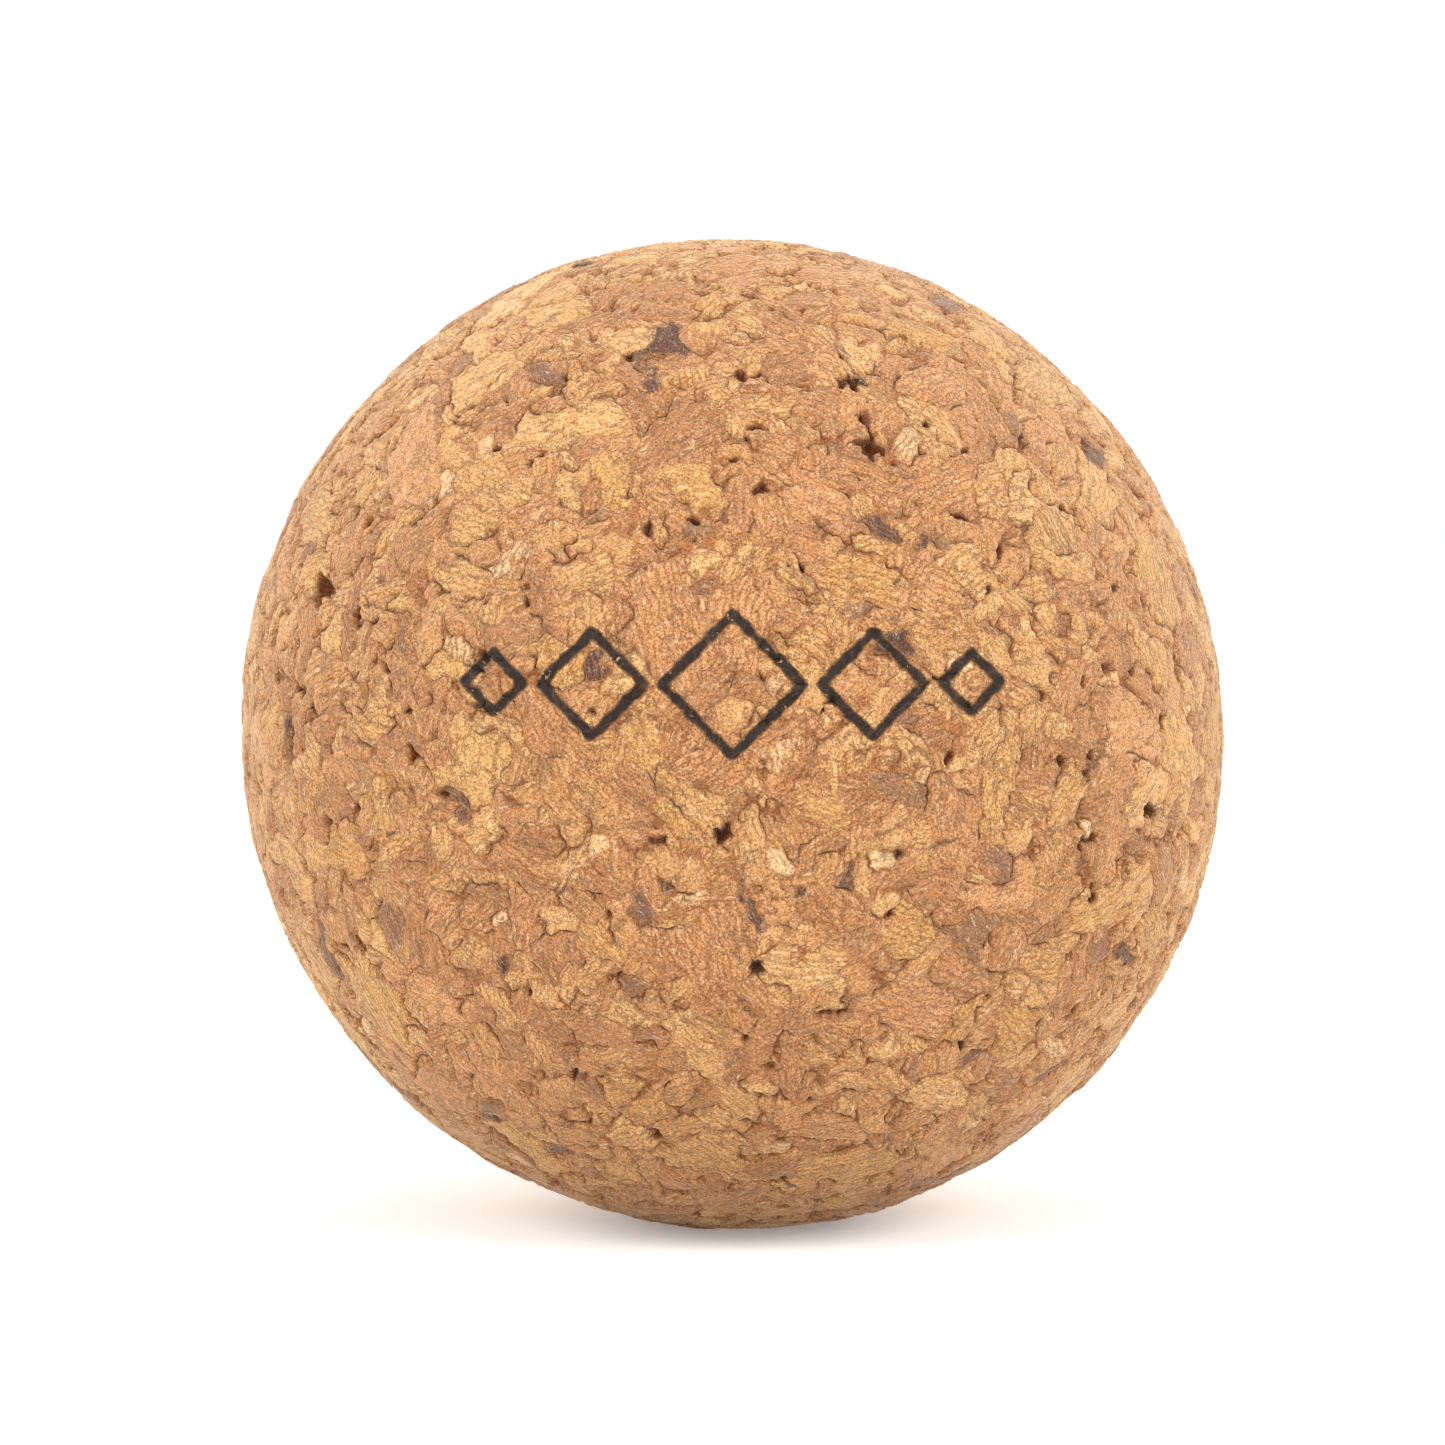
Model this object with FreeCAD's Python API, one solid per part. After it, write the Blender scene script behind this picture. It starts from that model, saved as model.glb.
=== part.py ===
import FreeCAD, Part
import math
import os
import random

# A massage ball turned from agglomerated cork. Coarse granules of several kinds lie flush in the fine
# granulate that binds them, and a thin printed mark sits on the front. The origin is the ball's centre,
# +Z is up and the front faces -Y. Lengths are in millimetres and angles in degrees.

os.makedirs("parts", exist_ok=True)

# Driving dimensions of the ball
BALL_DIAMETER = 65.0
BALL_RADIUS = BALL_DIAMETER / 2

# The ball's surface is laid out in patches, like a globe's, so that each one is nearly flat
PATCH_ROWS = 6
PATCHES_IN_ROW = 12

# Coarse granules: each is an irregular block whose sides run towards the ball's centre
GRANULE_CORNERS = 7
CORNER_JITTER = 0.22
GRANULE_DEPTH_RATIO = 0.55
DEPTH_RANGE = (1.0, 3.2)
TOOL_OVERSHOOT = 1.08
GRANULE_GAP = 0.35

# The lowest point of the ball belongs to the fine granulate, so no coarse granule lies this near to it
CLEAR_POLE_ANGLE = 9.0

# Printed mark: a row of five open diamonds drawn with a round pen, the largest in the middle
INK_THICKNESS = 0.08
MARK_HEIGHT = 4.7
MARK_STROKE = 0.7
DIAMONDS = (9.2, 7.0, 4.3)
DIAMOND_GAP = 0.4
MARK_REACH = 1.2 * BALL_RADIUS

# Scattered granules: seed of their random draws, how many places are tried for each kind, and how far
# their widths vary
SCATTER_SEED = 65
SCATTER_TRIES = 6000
WIDTH_RANGE = (0.8, 1.2)

# Granules that are placed one by one, as (azimuth, elevation, length, width, tilt). Azimuth 0 is the
# front and turns towards +X, elevation is above the equator, and tilt is the long side's angle from
# level, anticlockwise as seen from outside.
PLACED = {
    "bark_chips": [
        (-11, 52, 3.0, 1.8, 60), (-32, 46, 3.4, 2.4, 50), (-44, 19, 1.5, 1.0, 40),
        (-31, -6, 2.4, 1.4, 65), (-8, -13, 1.7, 1.2, 30), (8, -14, 2.0, 1.2, 50),
        (13, -12, 2.2, 1.0, 110), (-29, -23, 3.0, 1.7, 40), (-60, -23, 4.4, 2.4, 120),
        (-62, 2, 2.6, 1.2, 80), (43, 1, 2.4, 1.2, 95), (17, 12, 3.2, 2.2, 130),
        (19, 36, 2.8, 1.6, 20), (-13, 46, 3.2, 1.5, 75),
    ],
    "umber_granules": [
        (5, 45, 3.0, 1.6, 20), (14, 39, 3.0, 1.6, 150), (-17, -32, 5.4, 2.2, 5),
        (-26, 14, 4.6, 2.2, 160), (30, -25, 4.8, 2.4, 25), (-40, 9, 4.2, 2.2, 70),
    ],
    "rose_granules": [
        (-48, 35, 7.4, 4.8, 60), (-24, 27, 4.4, 3.4, 140), (10, 28, 4.6, 3.2, 30),
        (25, 18, 4.8, 2.2, 25), (34, 45, 4.4, 3.2, 150), (-2, -21, 5.4, 4.4, 60),
        (-24, -18, 3.4, 2.6, 100), (24, -6, 4.0, 2.8, 80), (7, 50, 4.2, 1.6, 10),
    ],
    "golden_granules": [
        (-15, 33, 3.8, 2.6, 80), (-4, 30, 4.4, 3.4, 20), (15, 20, 5.4, 2.8, 15),
        (-56, 30, 3.0, 2.2, 90), (-15, -20, 3.0, 2.4, 60), (21, -19, 3.4, 2.8, 30),
        (-50, -12, 4.8, 3.4, 20), (57, 10, 4.6, 3.0, 70), (40, -32, 4.6, 3.0, 35),
    ],
    "pale_granules": [
        (-25, 38, 7.4, 3.6, 165), (-32, 26, 3.0, 2.6, 70), (-34, 20, 4.6, 2.4, 20),
        (-18, 20, 4.4, 2.6, 150), (-20, 52, 3.0, 2.0, 30), (22, 50, 3.8, 3.0, 60),
        (33, 19, 5.0, 1.8, 40), (44, 21, 5.4, 1.9, 30), (-6, -32, 4.2, 3.0, 40),
        (9, -24, 5.0, 3.2, 10), (30, -41, 4.0, 3.0, 20), (-53, 52, 3.0, 1.8, 30),
    ],
    "cream_specks": [
        (-41, 26, 1.6, 1.0, 20), (-14, -9, 1.7, 1.3, 40), (5, -10, 2.0, 1.5, 80),
        (43, -8, 1.5, 1.2, 30), (54, -35, 1.2, 0.9, 20), (30, 39, 1.5, 1.1, 70),
        (25, 11, 1.8, 1.1, 20),
    ],
}

# Scattered granules of each kind: how many, with their shortest and longest length and their width
# as a share of the length
SCATTERED = {
    "rose_granules": (95, 3.6, 7.4, 0.60),
    "golden_granules": (110, 3.4, 7.4, 0.62),
    "pale_granules": (70, 3.0, 6.4, 0.56),
    "umber_granules": (60, 2.8, 5.6, 0.52),
    "bark_chips": (40, 1.5, 3.6, 0.60),
    "cream_specks": (30, 1.2, 2.0, 0.75),
}


def direction(azimuth, elevation):
    """Unit vector from the ball's centre towards a place on its surface."""
    turn = math.radians(azimuth)
    rise = math.radians(elevation)
    level = math.cos(rise)
    return FreeCAD.Vector(level * math.sin(turn), -level * math.cos(turn), math.sin(rise))


def level_and_up(azimuth, elevation):
    """The two unit tangents at a place: level to the right, and up the ball."""
    turn = math.radians(azimuth)
    level = FreeCAD.Vector(math.cos(turn), math.sin(turn), 0)
    return level, direction(azimuth, elevation).cross(level) * -1


def patched_ball():
    """The whole ball, with its surface divided into patches by meridians and parallels."""
    centre = FreeCAD.Vector(0, 0, 0)
    upward = FreeCAD.Vector(0, 0, 1)
    rise = 180 / PATCH_ROWS
    turn = 360 / PATCHES_IN_ROW
    sectors = []
    for row in range(PATCH_ROWS):
        bottom = row * rise - 90
        for place in range(PATCHES_IN_ROW):
            sector = Part.makeSphere(BALL_RADIUS, centre, upward, bottom, bottom + rise, turn)
            sector.rotate(centre, upward, place * turn)
            sectors.append(sector)
    return sectors[0].fuse(sectors[1:])


def reach_towards(granule, heading):
    """How far a granule, taken as an ellipse, reaches along a heading in its tangent plane."""
    _, _, length, width, tilt = granule
    turn = heading - math.radians(tilt)
    return length * width / 2 / math.hypot(width * math.cos(turn), length * math.sin(turn))


def heading_to(granule, target):
    """Angle, in a granule's tangent plane and up from level, at which a place on the ball lies."""
    level, up = level_and_up(granule[0], granule[1])
    away = target - direction(granule[0], granule[1])
    return math.atan2(away.dot(up), away.dot(level))


def overlaps(granule, others):
    """True if a granule comes nearer to another one than the gap."""
    middle = direction(granule[0], granule[1])
    for other in others:
        other_middle = direction(other[0], other[1])
        apart = BALL_RADIUS * middle.getAngle(other_middle) - GRANULE_GAP
        if apart > (granule[2] + other[2]) / 2:
            continue
        reach = reach_towards(granule, heading_to(granule, other_middle))
        if apart < reach + reach_towards(other, heading_to(other, middle)):
            return True
    return False


def scatter(placed):
    """Fill the rest of the ball with granules of every kind that keep clear of those already there."""
    draw = random.Random(SCATTER_SEED)
    kinds = {kind: list(granules) for kind, granules in placed.items()}
    taken = [granule for granules in placed.values() for granule in granules]
    for kind, (wanted, shortest, longest, aspect) in SCATTERED.items():
        found = 0
        for _ in range(SCATTER_TRIES):
            azimuth = draw.uniform(-180, 180)
            elevation = math.degrees(math.asin(draw.uniform(-1, 1)))
            length = draw.uniform(shortest, longest)
            width = length * aspect * draw.uniform(*WIDTH_RANGE)
            granule = (azimuth, elevation, length, width, draw.uniform(0, 180))
            if elevation < CLEAR_POLE_ANGLE - 90 or overlaps(granule, taken):
                continue
            kinds[kind].append(granule)
            taken.append(granule)
            found += 1
            if found == wanted:
                break
    return kinds


def outline(granule, draw):
    """Corners of a granule on the plane that touches the ball there, as distances level and up."""
    _, _, length, width, tilt = granule
    corners = []
    for corner in range(GRANULE_CORNERS):
        around = 2 * math.pi * (corner + draw.uniform(-CORNER_JITTER, CORNER_JITTER)) / GRANULE_CORNERS
        reach = 1 - draw.uniform(0, CORNER_JITTER)
        along = reach * length / 2 * math.cos(around)
        across = reach * width / 2 * math.sin(around)
        lean = math.radians(tilt)
        corners.append((
            along * math.cos(lean) - across * math.sin(lean),
            along * math.sin(lean) + across * math.cos(lean),
        ))
    return corners


def wedge(granule, draw):
    """The block that a granule fills, taken on past the ball's surface: flat faces, narrower inwards."""
    azimuth, elevation, _, width, _ = granule
    outward = direction(azimuth, elevation)
    level, up = level_and_up(azimuth, elevation)
    rays = [outward * BALL_RADIUS + level * x + up * y for x, y in outline(granule, draw)]
    depth = min(max(GRANULE_DEPTH_RATIO * width, DEPTH_RANGE[0]), DEPTH_RANGE[1])
    floor = [ray * (1 - depth / BALL_RADIUS) for ray in rays]
    roof = [ray * TOOL_OVERSHOOT for ray in rays]
    loops = [floor, roof]
    for corner in range(GRANULE_CORNERS):
        after = (corner + 1) % GRANULE_CORNERS
        loops.append([floor[corner], floor[after], roof[after], roof[corner]])
    faces = [Part.Face(Part.makePolygon(loop + loop[:1])) for loop in loops]
    block = Part.makeSolid(Part.makeShell(faces))
    if block.Volume < 0:
        block.reverse()
    return block


def diamond(middle, height):
    """An open diamond standing on its corner, taken forwards from the ball's middle."""
    reach = (height - MARK_STROKE) / 2
    corners = ((middle + reach, 0), (middle, reach), (middle - reach, 0), (middle, -reach))
    loop = [FreeCAD.Vector(x, 0, MARK_HEIGHT + z) for x, z in corners]
    pen_line = Part.makePolygon(loop + loop[:1])
    outside = Part.Face(pen_line.makeOffset2D(MARK_STROKE / 2))
    inside = Part.Face(pen_line.makeOffset2D(-MARK_STROKE / 2))
    return outside.cut(inside).extrude(FreeCAD.Vector(0, -MARK_REACH, 0))


def printed_mark():
    """The ink film: the diamonds carried straight back onto the ball's surface."""
    shapes = []
    middle = 0
    for number, height in enumerate(DIAMONDS):
        if number > 0:
            middle += DIAMONDS[number - 1] / 2 + DIAMOND_GAP + height / 2
        shapes += [diamond(place, height) for place in sorted({-middle, middle})]
    skin = Part.makeSphere(BALL_RADIUS + INK_THICKNESS).cut(Part.makeSphere(BALL_RADIUS))
    return Part.makeCompound([shape.common(skin) for shape in shapes])


def export(name, shape):
    """Write one sub-part, and say what it holds."""
    shape.exportStep("parts/" + name + ".step")
    print(name, len(shape.Solids), "solids,", round(shape.Volume, 1), "mm3, valid:", shape.isValid())


ball = patched_ball()
corner_draw = random.Random(SCATTER_SEED)
blocks = []
for kind, granules in scatter(PLACED).items():
    kind_blocks = [wedge(granule, corner_draw) for granule in granules]
    blocks.extend(kind_blocks)
    solids = [solid for block in kind_blocks for solid in block.common(ball).Solids]
    export(kind, Part.makeCompound(solids))
export("cork_body", ball.cut(blocks))
export("printed_mark", printed_mark())
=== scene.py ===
import math

import bmesh
import bpy
import numpy as np
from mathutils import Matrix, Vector, geometry, kdtree


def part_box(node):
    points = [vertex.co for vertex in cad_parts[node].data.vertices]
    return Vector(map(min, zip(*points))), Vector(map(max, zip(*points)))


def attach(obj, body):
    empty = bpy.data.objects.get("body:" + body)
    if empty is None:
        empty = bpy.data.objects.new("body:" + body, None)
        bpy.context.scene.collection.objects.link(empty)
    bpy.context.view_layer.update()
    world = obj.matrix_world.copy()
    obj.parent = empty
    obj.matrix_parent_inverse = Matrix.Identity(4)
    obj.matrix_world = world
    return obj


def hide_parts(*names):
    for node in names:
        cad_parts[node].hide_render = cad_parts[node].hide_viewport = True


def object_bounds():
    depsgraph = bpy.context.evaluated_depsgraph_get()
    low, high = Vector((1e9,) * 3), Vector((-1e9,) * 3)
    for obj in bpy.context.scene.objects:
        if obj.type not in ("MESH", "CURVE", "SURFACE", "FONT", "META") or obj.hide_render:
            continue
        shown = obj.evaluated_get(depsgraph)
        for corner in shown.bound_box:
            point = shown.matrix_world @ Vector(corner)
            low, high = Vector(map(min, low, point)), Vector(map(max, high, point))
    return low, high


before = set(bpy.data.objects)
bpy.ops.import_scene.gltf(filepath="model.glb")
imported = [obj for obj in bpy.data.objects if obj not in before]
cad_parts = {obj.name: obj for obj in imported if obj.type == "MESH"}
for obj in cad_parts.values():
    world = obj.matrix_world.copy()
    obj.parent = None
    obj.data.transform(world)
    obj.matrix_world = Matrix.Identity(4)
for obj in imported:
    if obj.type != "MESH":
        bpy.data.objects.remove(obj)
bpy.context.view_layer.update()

# A massage ball turned from agglomerated cork. The ball's surface is divided into granules: the coarse ones
# lie where the CAD granules are, and fine ones fill the rest. Each coarse granule that wins a patch of the
# surface becomes a closed solid in the piece of its kind, and the fine ones together are the closed body
# with a pocket for each of them. Lengths are in millimetres unless a comment says otherwise, and meshes are
# written in metres.

MM = 0.001
rng = np.random.default_rng(65)

# Ball
BODY = "cork_body"
COARSE_KINDS = (
    "golden_granules", "rose_granules", "pale_granules", "umber_granules", "bark_chips", "cream_specks",
)
BALL_RADIUS = (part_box(BODY)[1][2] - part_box(BODY)[0][2]) / 2 / MM

# Mesh: the parts along each edge of an icosahedron, how far vertices are moved about, in mesh steps, and the
# angle in degrees above which an edge is shaded as a sharp one
MESH_FREQUENCY = 150
VERTEX_JITTER = 0.22
SHARP_ANGLE = 62

# The area of an equilateral triangle with sides of one
TRIANGLE_AREA = math.sqrt(0.1875)

# A CAD vertex this far out, in ball radii, is on the ball's surface
CAD_SURFACE = 0.999

# The ball is a little out of round: longer along one slanting axis and shorter across it
LONG_AXIS = (-0.5, 0.0, 0.866)
SHORT_AXIS = (0.866, 0.0, 0.5)
OUT_OF_ROUND = 0.008

# Fine granules between the coarse ones. Their scatter is in spacings, and their clearance from a coarse
# granule's centre is in its own half sizes.
FINE_SPACING = 2.0
FINE_SCATTER = 0.3
FINE_HALF_LENGTHS = (0.55, 1.75)
FINE_ASPECTS = (0.4, 0.9)
FINE_CLEARANCE = 1.12

# How many granules of each sort are tried as the owner of a spot
COARSE_NEIGHBOURS = 5
FINE_NEIGHBOURS = 9

# Granules are rounded blocks: 2 would make them ellipses, and more brings out their corners
BLOCKINESS = 3.5
GRANULE_DEPTH = 2.0

# How far apart the granules' own coordinates may start, so that no two have the same pattern
GRAIN_SHIFT = 400

# Bark chips are splinters, narrower than the blocks that stand for them in the CAD part
SPLINTERS = "bark_chips"
SPLINTER_NARROWING = 0.72

# Noise: how many waves make it up, and their lengths as shares of its wavelength
WAVE_COUNT = 28
WAVE_LENGTHS = (0.7, 1.5)

# Jagged outlines: how far the field is pushed about, as (wavelength, distance), and the part of an edge
# that an outline may cut, as shares of the edge's length
WARPS = ((4.0, 0.25), (1.4, 0.12), (0.6, 0.08))
CUT_SHARES = (0.06, 0.94)

# Relief: grooves between granules, open gaps where three of them meet, tears within a granule, and lumps.
# Each feature is absent where its noise is below its range and whole where it is above.
HAIRLINE_DEPTH = 0.04
CREVICE_DEPTH = 0.22
CREVICE_WIDTH = 0.15
CREVICE_LEAST_WIDTH = 0.05
CREVICE_WIDENING = 0.35
CREVICE_WIDENING_WAVELENGTH = 1.0
CREVICE_WAVELENGTH = 2.2
CREVICE_RANGE = (-0.1, 1.2)
GAP_DEPTH = 0.7
GAP_WIDTH = 0.23
GAP_WAVELENGTH = 2.2
GAP_RANGE = (1.3, 2.1)
TEAR_DEPTH = 0.10
TEAR_WIDTH = 0.5
TEAR_WAVELENGTH = 1.7
TEAR_RANGE = (0.3, 1.4)
GRANULE_RELIEF = 0.08
GRANULE_SHOULDER = 0.12

# Layers of lumps, of wrinkles along the grain and of raggedness, as (wavelength, height)
LUMPS = ((15.0, 0.04), (5.0, 0.03), (0.6, 0.014))
WRINKLES = ((2.4, 0.035), (1.1, 0.02))
WRINKLE_STRETCH = (0.5, 1.0, 1.0)
PIT_RAGGEDNESS = ((0.9, 0.18), (0.5, 0.10))
MARK_RAGGEDNESS = ((1.2, 0.04), (0.5, 0.02))

# Deeper pits, where a granule has come out: azimuth and elevation in degrees, and half width. The slope
# runs from the rim to the floor, both in half widths.
PITS = (
    (-57, 18, 0.95), (-1, -7.5, 0.5), (19, 45, 0.45), (19, 36, 0.8), (-52, -22, 0.5), (3, -23, 0.4),
    (46, -16, 0.45), (55, -7, 0.6), (112, 24, 0.7), (148, -12, 0.9), (-118, -31, 0.8), (-160, 8, 0.6),
    (-96, 47, 0.5), (84, -42, 0.6), (171, 55, 0.7),
)
PIT_DEPTH = 1.1
PIT_RIM = 1.25
PIT_FLOOR = 0.55

# Printed mark, as in the CAD part: a row of five open diamonds, as heights from the middle one outwards
MARK = "printed_mark"
MARK_STROKE = 0.7
DIAMONDS = (9.2, 7.0, 4.3)
DIAMOND_GAP = 0.4
INK_RISE = 0.02
INK_SOAK = 0.03

# Camera: distance and aim in ball radii, elevation in degrees, and the ball's share of the view's width
CAMERA_DISTANCE = 11.0
CAMERA_ELEVATION = 3.0
AIM_LEFT = 0.019
AIM_ABOVE = 0.023
BALL_SHARE_OF_VIEW = 0.6817
SENSOR_WIDTH = 36.0

# Studio: soft square lights, as name, place and size in ball radii, and power in watts. The floor's half
# width is in ball radii, and its pattern's wavelength in metres.
LIGHTS = (
    ("left_light", (-8, -7, 5), 5, 0.54),
    ("right_light", (8, -7, 5), 5, 0.65),
    ("top_light", (0, -1, 11), 6, 0.64),
    ("left_rim_light", (-8, 7, 4), 4, 0.45),
    ("right_rim_light", (8, 7, 4), 4, 0.45),
)
WORLD_STRENGTH = 1.02
FLOOR_GLOW = 0.2
FLOOR_HALF_WIDTH = 60
FLOOR_WAVELENGTH = 0.2


def unit(vectors):
    """The same vectors at length one."""
    return vectors / np.linalg.norm(vectors, axis=-1, keepdims=True)


def smoothstep(low, high, values):
    """0 below low, 1 above high and a smooth rise between."""
    share = np.clip((values - low) / (high - low), 0, 1)
    return share * share * (3 - 2 * share)


def waves(points, wavelength):
    """Smooth noise of about unit spread: the sum of seeded waves that run in random directions."""
    headings = unit(rng.normal(size=(WAVE_COUNT, 3)))
    lengths = wavelength * rng.uniform(*WAVE_LENGTHS, WAVE_COUNT)
    phases = rng.uniform(0, 2 * math.pi, WAVE_COUNT)
    turns = points @ (headings / lengths[:, None] * 2 * math.pi).T + phases
    return np.sin(turns).sum(axis=1) * math.sqrt(2 / WAVE_COUNT)


def layered(points, layers):
    """The sum of several layers of noise, given as (wavelength, height)."""
    return sum(waves(points, wavelength) * height for wavelength, height in layers)


def geodesic(frequency):
    """Directions and triangles of an icosahedron with each edge divided in frequency parts."""
    solid = bmesh.new()
    bmesh.ops.create_icosphere(solid, subdivisions=1, radius=1)
    corners = np.array([vertex.co for vertex in solid.verts])
    faces = [[vertex.index for vertex in face.verts] for face in solid.faces]
    solid.free()
    steps = [(i, j) for i in range(frequency + 1) for j in range(frequency + 1 - i)]
    number = {step: place for place, step in enumerate(steps)}
    weights = np.array([(frequency - i - j, i, j) for i, j in steps]) / frequency
    upright = [(number[i, j], number[i + 1, j], number[i, j + 1]) for i, j in steps if i + j < frequency]
    inverted = [
        (number[i + 1, j], number[i + 1, j + 1], number[i, j + 1])
        for i, j in steps if i + j < frequency - 1
    ]
    pattern = np.array(upright + inverted)
    points = np.concatenate([weights @ corners[face] for face in faces])
    triangles = np.concatenate([pattern + len(steps) * place for place in range(len(faces))])
    _, first, merged = np.unique(np.round(points, 7), axis=0, return_index=True, return_inverse=True)
    return unit(points[first]), merged.reshape(-1)[triangles]


def islands(count, ends):
    """A label for each of count points, the same for all the points that edges join."""
    label = np.arange(count)
    while True:
        lowest = np.minimum(label[ends[:, 0]], label[ends[:, 1]])
        lower = label.copy()
        np.minimum.at(lower, ends[:, 0], lowest)
        np.minimum.at(lower, ends[:, 1], lowest)
        lower = lower[lower]
        if (lower == label).all():
            return label
        label = lower


def island_points(mesh):
    """The vertices of each separate solid in a mesh, in millimetres."""
    places = np.empty(len(mesh.vertices) * 3)
    mesh.vertices.foreach_get("co", places)
    places, merged = np.unique(np.round(places.reshape(-1, 3) / MM, 3), axis=0, return_inverse=True)
    ends = np.empty(len(mesh.edges) * 2, dtype=int)
    mesh.edges.foreach_get("vertices", ends)
    label = islands(len(places), merged.reshape(-1)[ends].reshape(-1, 2))
    return [places[label == name] for name in np.unique(label)]


def coarse_granule(points):
    """Centre, long direction and half sizes of one CAD granule, from the corners of its outer face."""
    outer = points[np.linalg.norm(points, axis=1) > BALL_RADIUS * CAD_SURFACE]
    centre = unit(outer.mean(axis=0))
    flat = outer - outer @ centre[:, None] * centre
    _, axes = np.linalg.eigh(flat.T @ flat)
    along = unit(axes[:, 2] - axes[:, 2] @ centre * centre)
    across = np.cross(centre, along)
    return centre, along, np.abs(flat @ along).max(), np.abs(flat @ across).max()


class Granules:
    """Every granule's centre, directions, half sizes and kind. Kind -1 is fine, others count COARSE_KINDS."""

    def __init__(self):
        rows = []
        for kind, node in enumerate(COARSE_KINDS):
            for points in island_points(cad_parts[node].data):
                rows.append((*coarse_granule(points), kind))
        self.coarse_count = len(rows)
        self.centre = np.array([row[0] for row in rows])
        self.along = np.array([row[1] for row in rows])
        self.half_length = np.array([row[2] for row in rows])
        self.half_width = np.array([row[3] for row in rows])
        self.kind = np.array([row[4] for row in rows])
        self.half_width[self.kind == COARSE_KINDS.index(SPLINTERS)] *= SPLINTER_NARROWING
        self.add_fine()
        self.across = np.cross(self.centre, self.along)
        count = len(self.kind)
        self.tint = rng.uniform(0, 1, (count, 3))
        self.shift = rng.uniform(0, GRAIN_SHIFT, (count, 3))
        self.lift = rng.uniform(-1, 1, count) * GRANULE_RELIEF
        self.trees = (self.tree(0, self.coarse_count), self.tree(self.coarse_count, count))

    def add_fine(self):
        """Scatter fine granules evenly over the ball, apart from where the coarse ones are."""
        wanted = int(4 * math.pi * BALL_RADIUS ** 2 / (FINE_SPACING ** 2 * 2 * TRIANGLE_AREA))
        order = np.arange(wanted) + 0.5
        height = 1 - 2 * order / wanted
        turn = math.pi * (1 + math.sqrt(5)) * order
        level = np.sqrt(1 - height ** 2)
        spots = np.stack([level * np.cos(turn), level * np.sin(turn), height], axis=1)
        spots = unit(spots + rng.normal(size=spots.shape) * FINE_SPACING / BALL_RADIUS * FINE_SCATTER)
        free = np.ones(wanted, dtype=bool)
        for centre, along, half_length, half_width in zip(
                self.centre, self.along, self.half_length, self.half_width):
            away = (spots - centre) * BALL_RADIUS
            reach = np.hypot(away @ along / half_length, away @ np.cross(centre, along) / half_width)
            free &= (reach > FINE_CLEARANCE) | (away @ centre < -half_length)
        spots = spots[free]
        heading = unit(np.cross(spots, rng.normal(size=spots.shape)))
        half_length = rng.uniform(*FINE_HALF_LENGTHS, len(spots))
        self.centre = np.concatenate([self.centre, spots])
        self.along = np.concatenate([self.along, heading])
        self.half_length = np.concatenate([self.half_length, half_length])
        self.half_width = np.concatenate([
            self.half_width, half_length * rng.uniform(*FINE_ASPECTS, len(spots)),
        ])
        self.kind = np.concatenate([self.kind, np.full(len(spots), -1)])

    def tree(self, start, end):
        """A search tree of the granules numbered from start up to end."""
        found = kdtree.KDTree(end - start)
        for number in range(start, end):
            found.insert(Vector(self.centre[number]), number)
        found.balance()
        return found

    def near(self, directions):
        """The numbers of the nearest coarse and fine granules to each direction."""
        counts = (COARSE_NEIGHBOURS, FINE_NEIGHBOURS)
        rows = [
            [number for tree, count in zip(self.trees, counts) for _, number, _ in tree.find_n(spot, count)]
            for spot in directions.tolist()
        ]
        return np.array(rows)

    def local(self, points, number):
        """Each point's place along, across and out of the granule that it is given with."""
        away = points - self.centre[number] * BALL_RADIUS
        axes = (self.along[number], self.across[number], self.centre[number])
        return np.stack([(away * axis).sum(axis=-1) for axis in axes], axis=-1)

    def distance(self, points, number):
        """How many granule sizes each point is from the granule's centre, and the same in millimetres."""
        place = self.local(points, number)
        width = self.half_width[number]
        scaled = np.abs(place / np.stack([self.half_length[number], width, width], axis=-1))
        sizes = (scaled ** BLOCKINESS).sum(axis=-1) ** (1 / BLOCKINESS)
        return sizes, np.linalg.norm(place, axis=-1)


def warped(directions):
    """Places on the ball, each pushed about so that the granules get jagged outlines."""
    points = directions * BALL_RADIUS
    pushed = points.copy()
    for wavelength, distance in WARPS:
        pushed += np.stack([waves(points, wavelength) for _ in range(3)], axis=1) * distance
    return pushed


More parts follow.
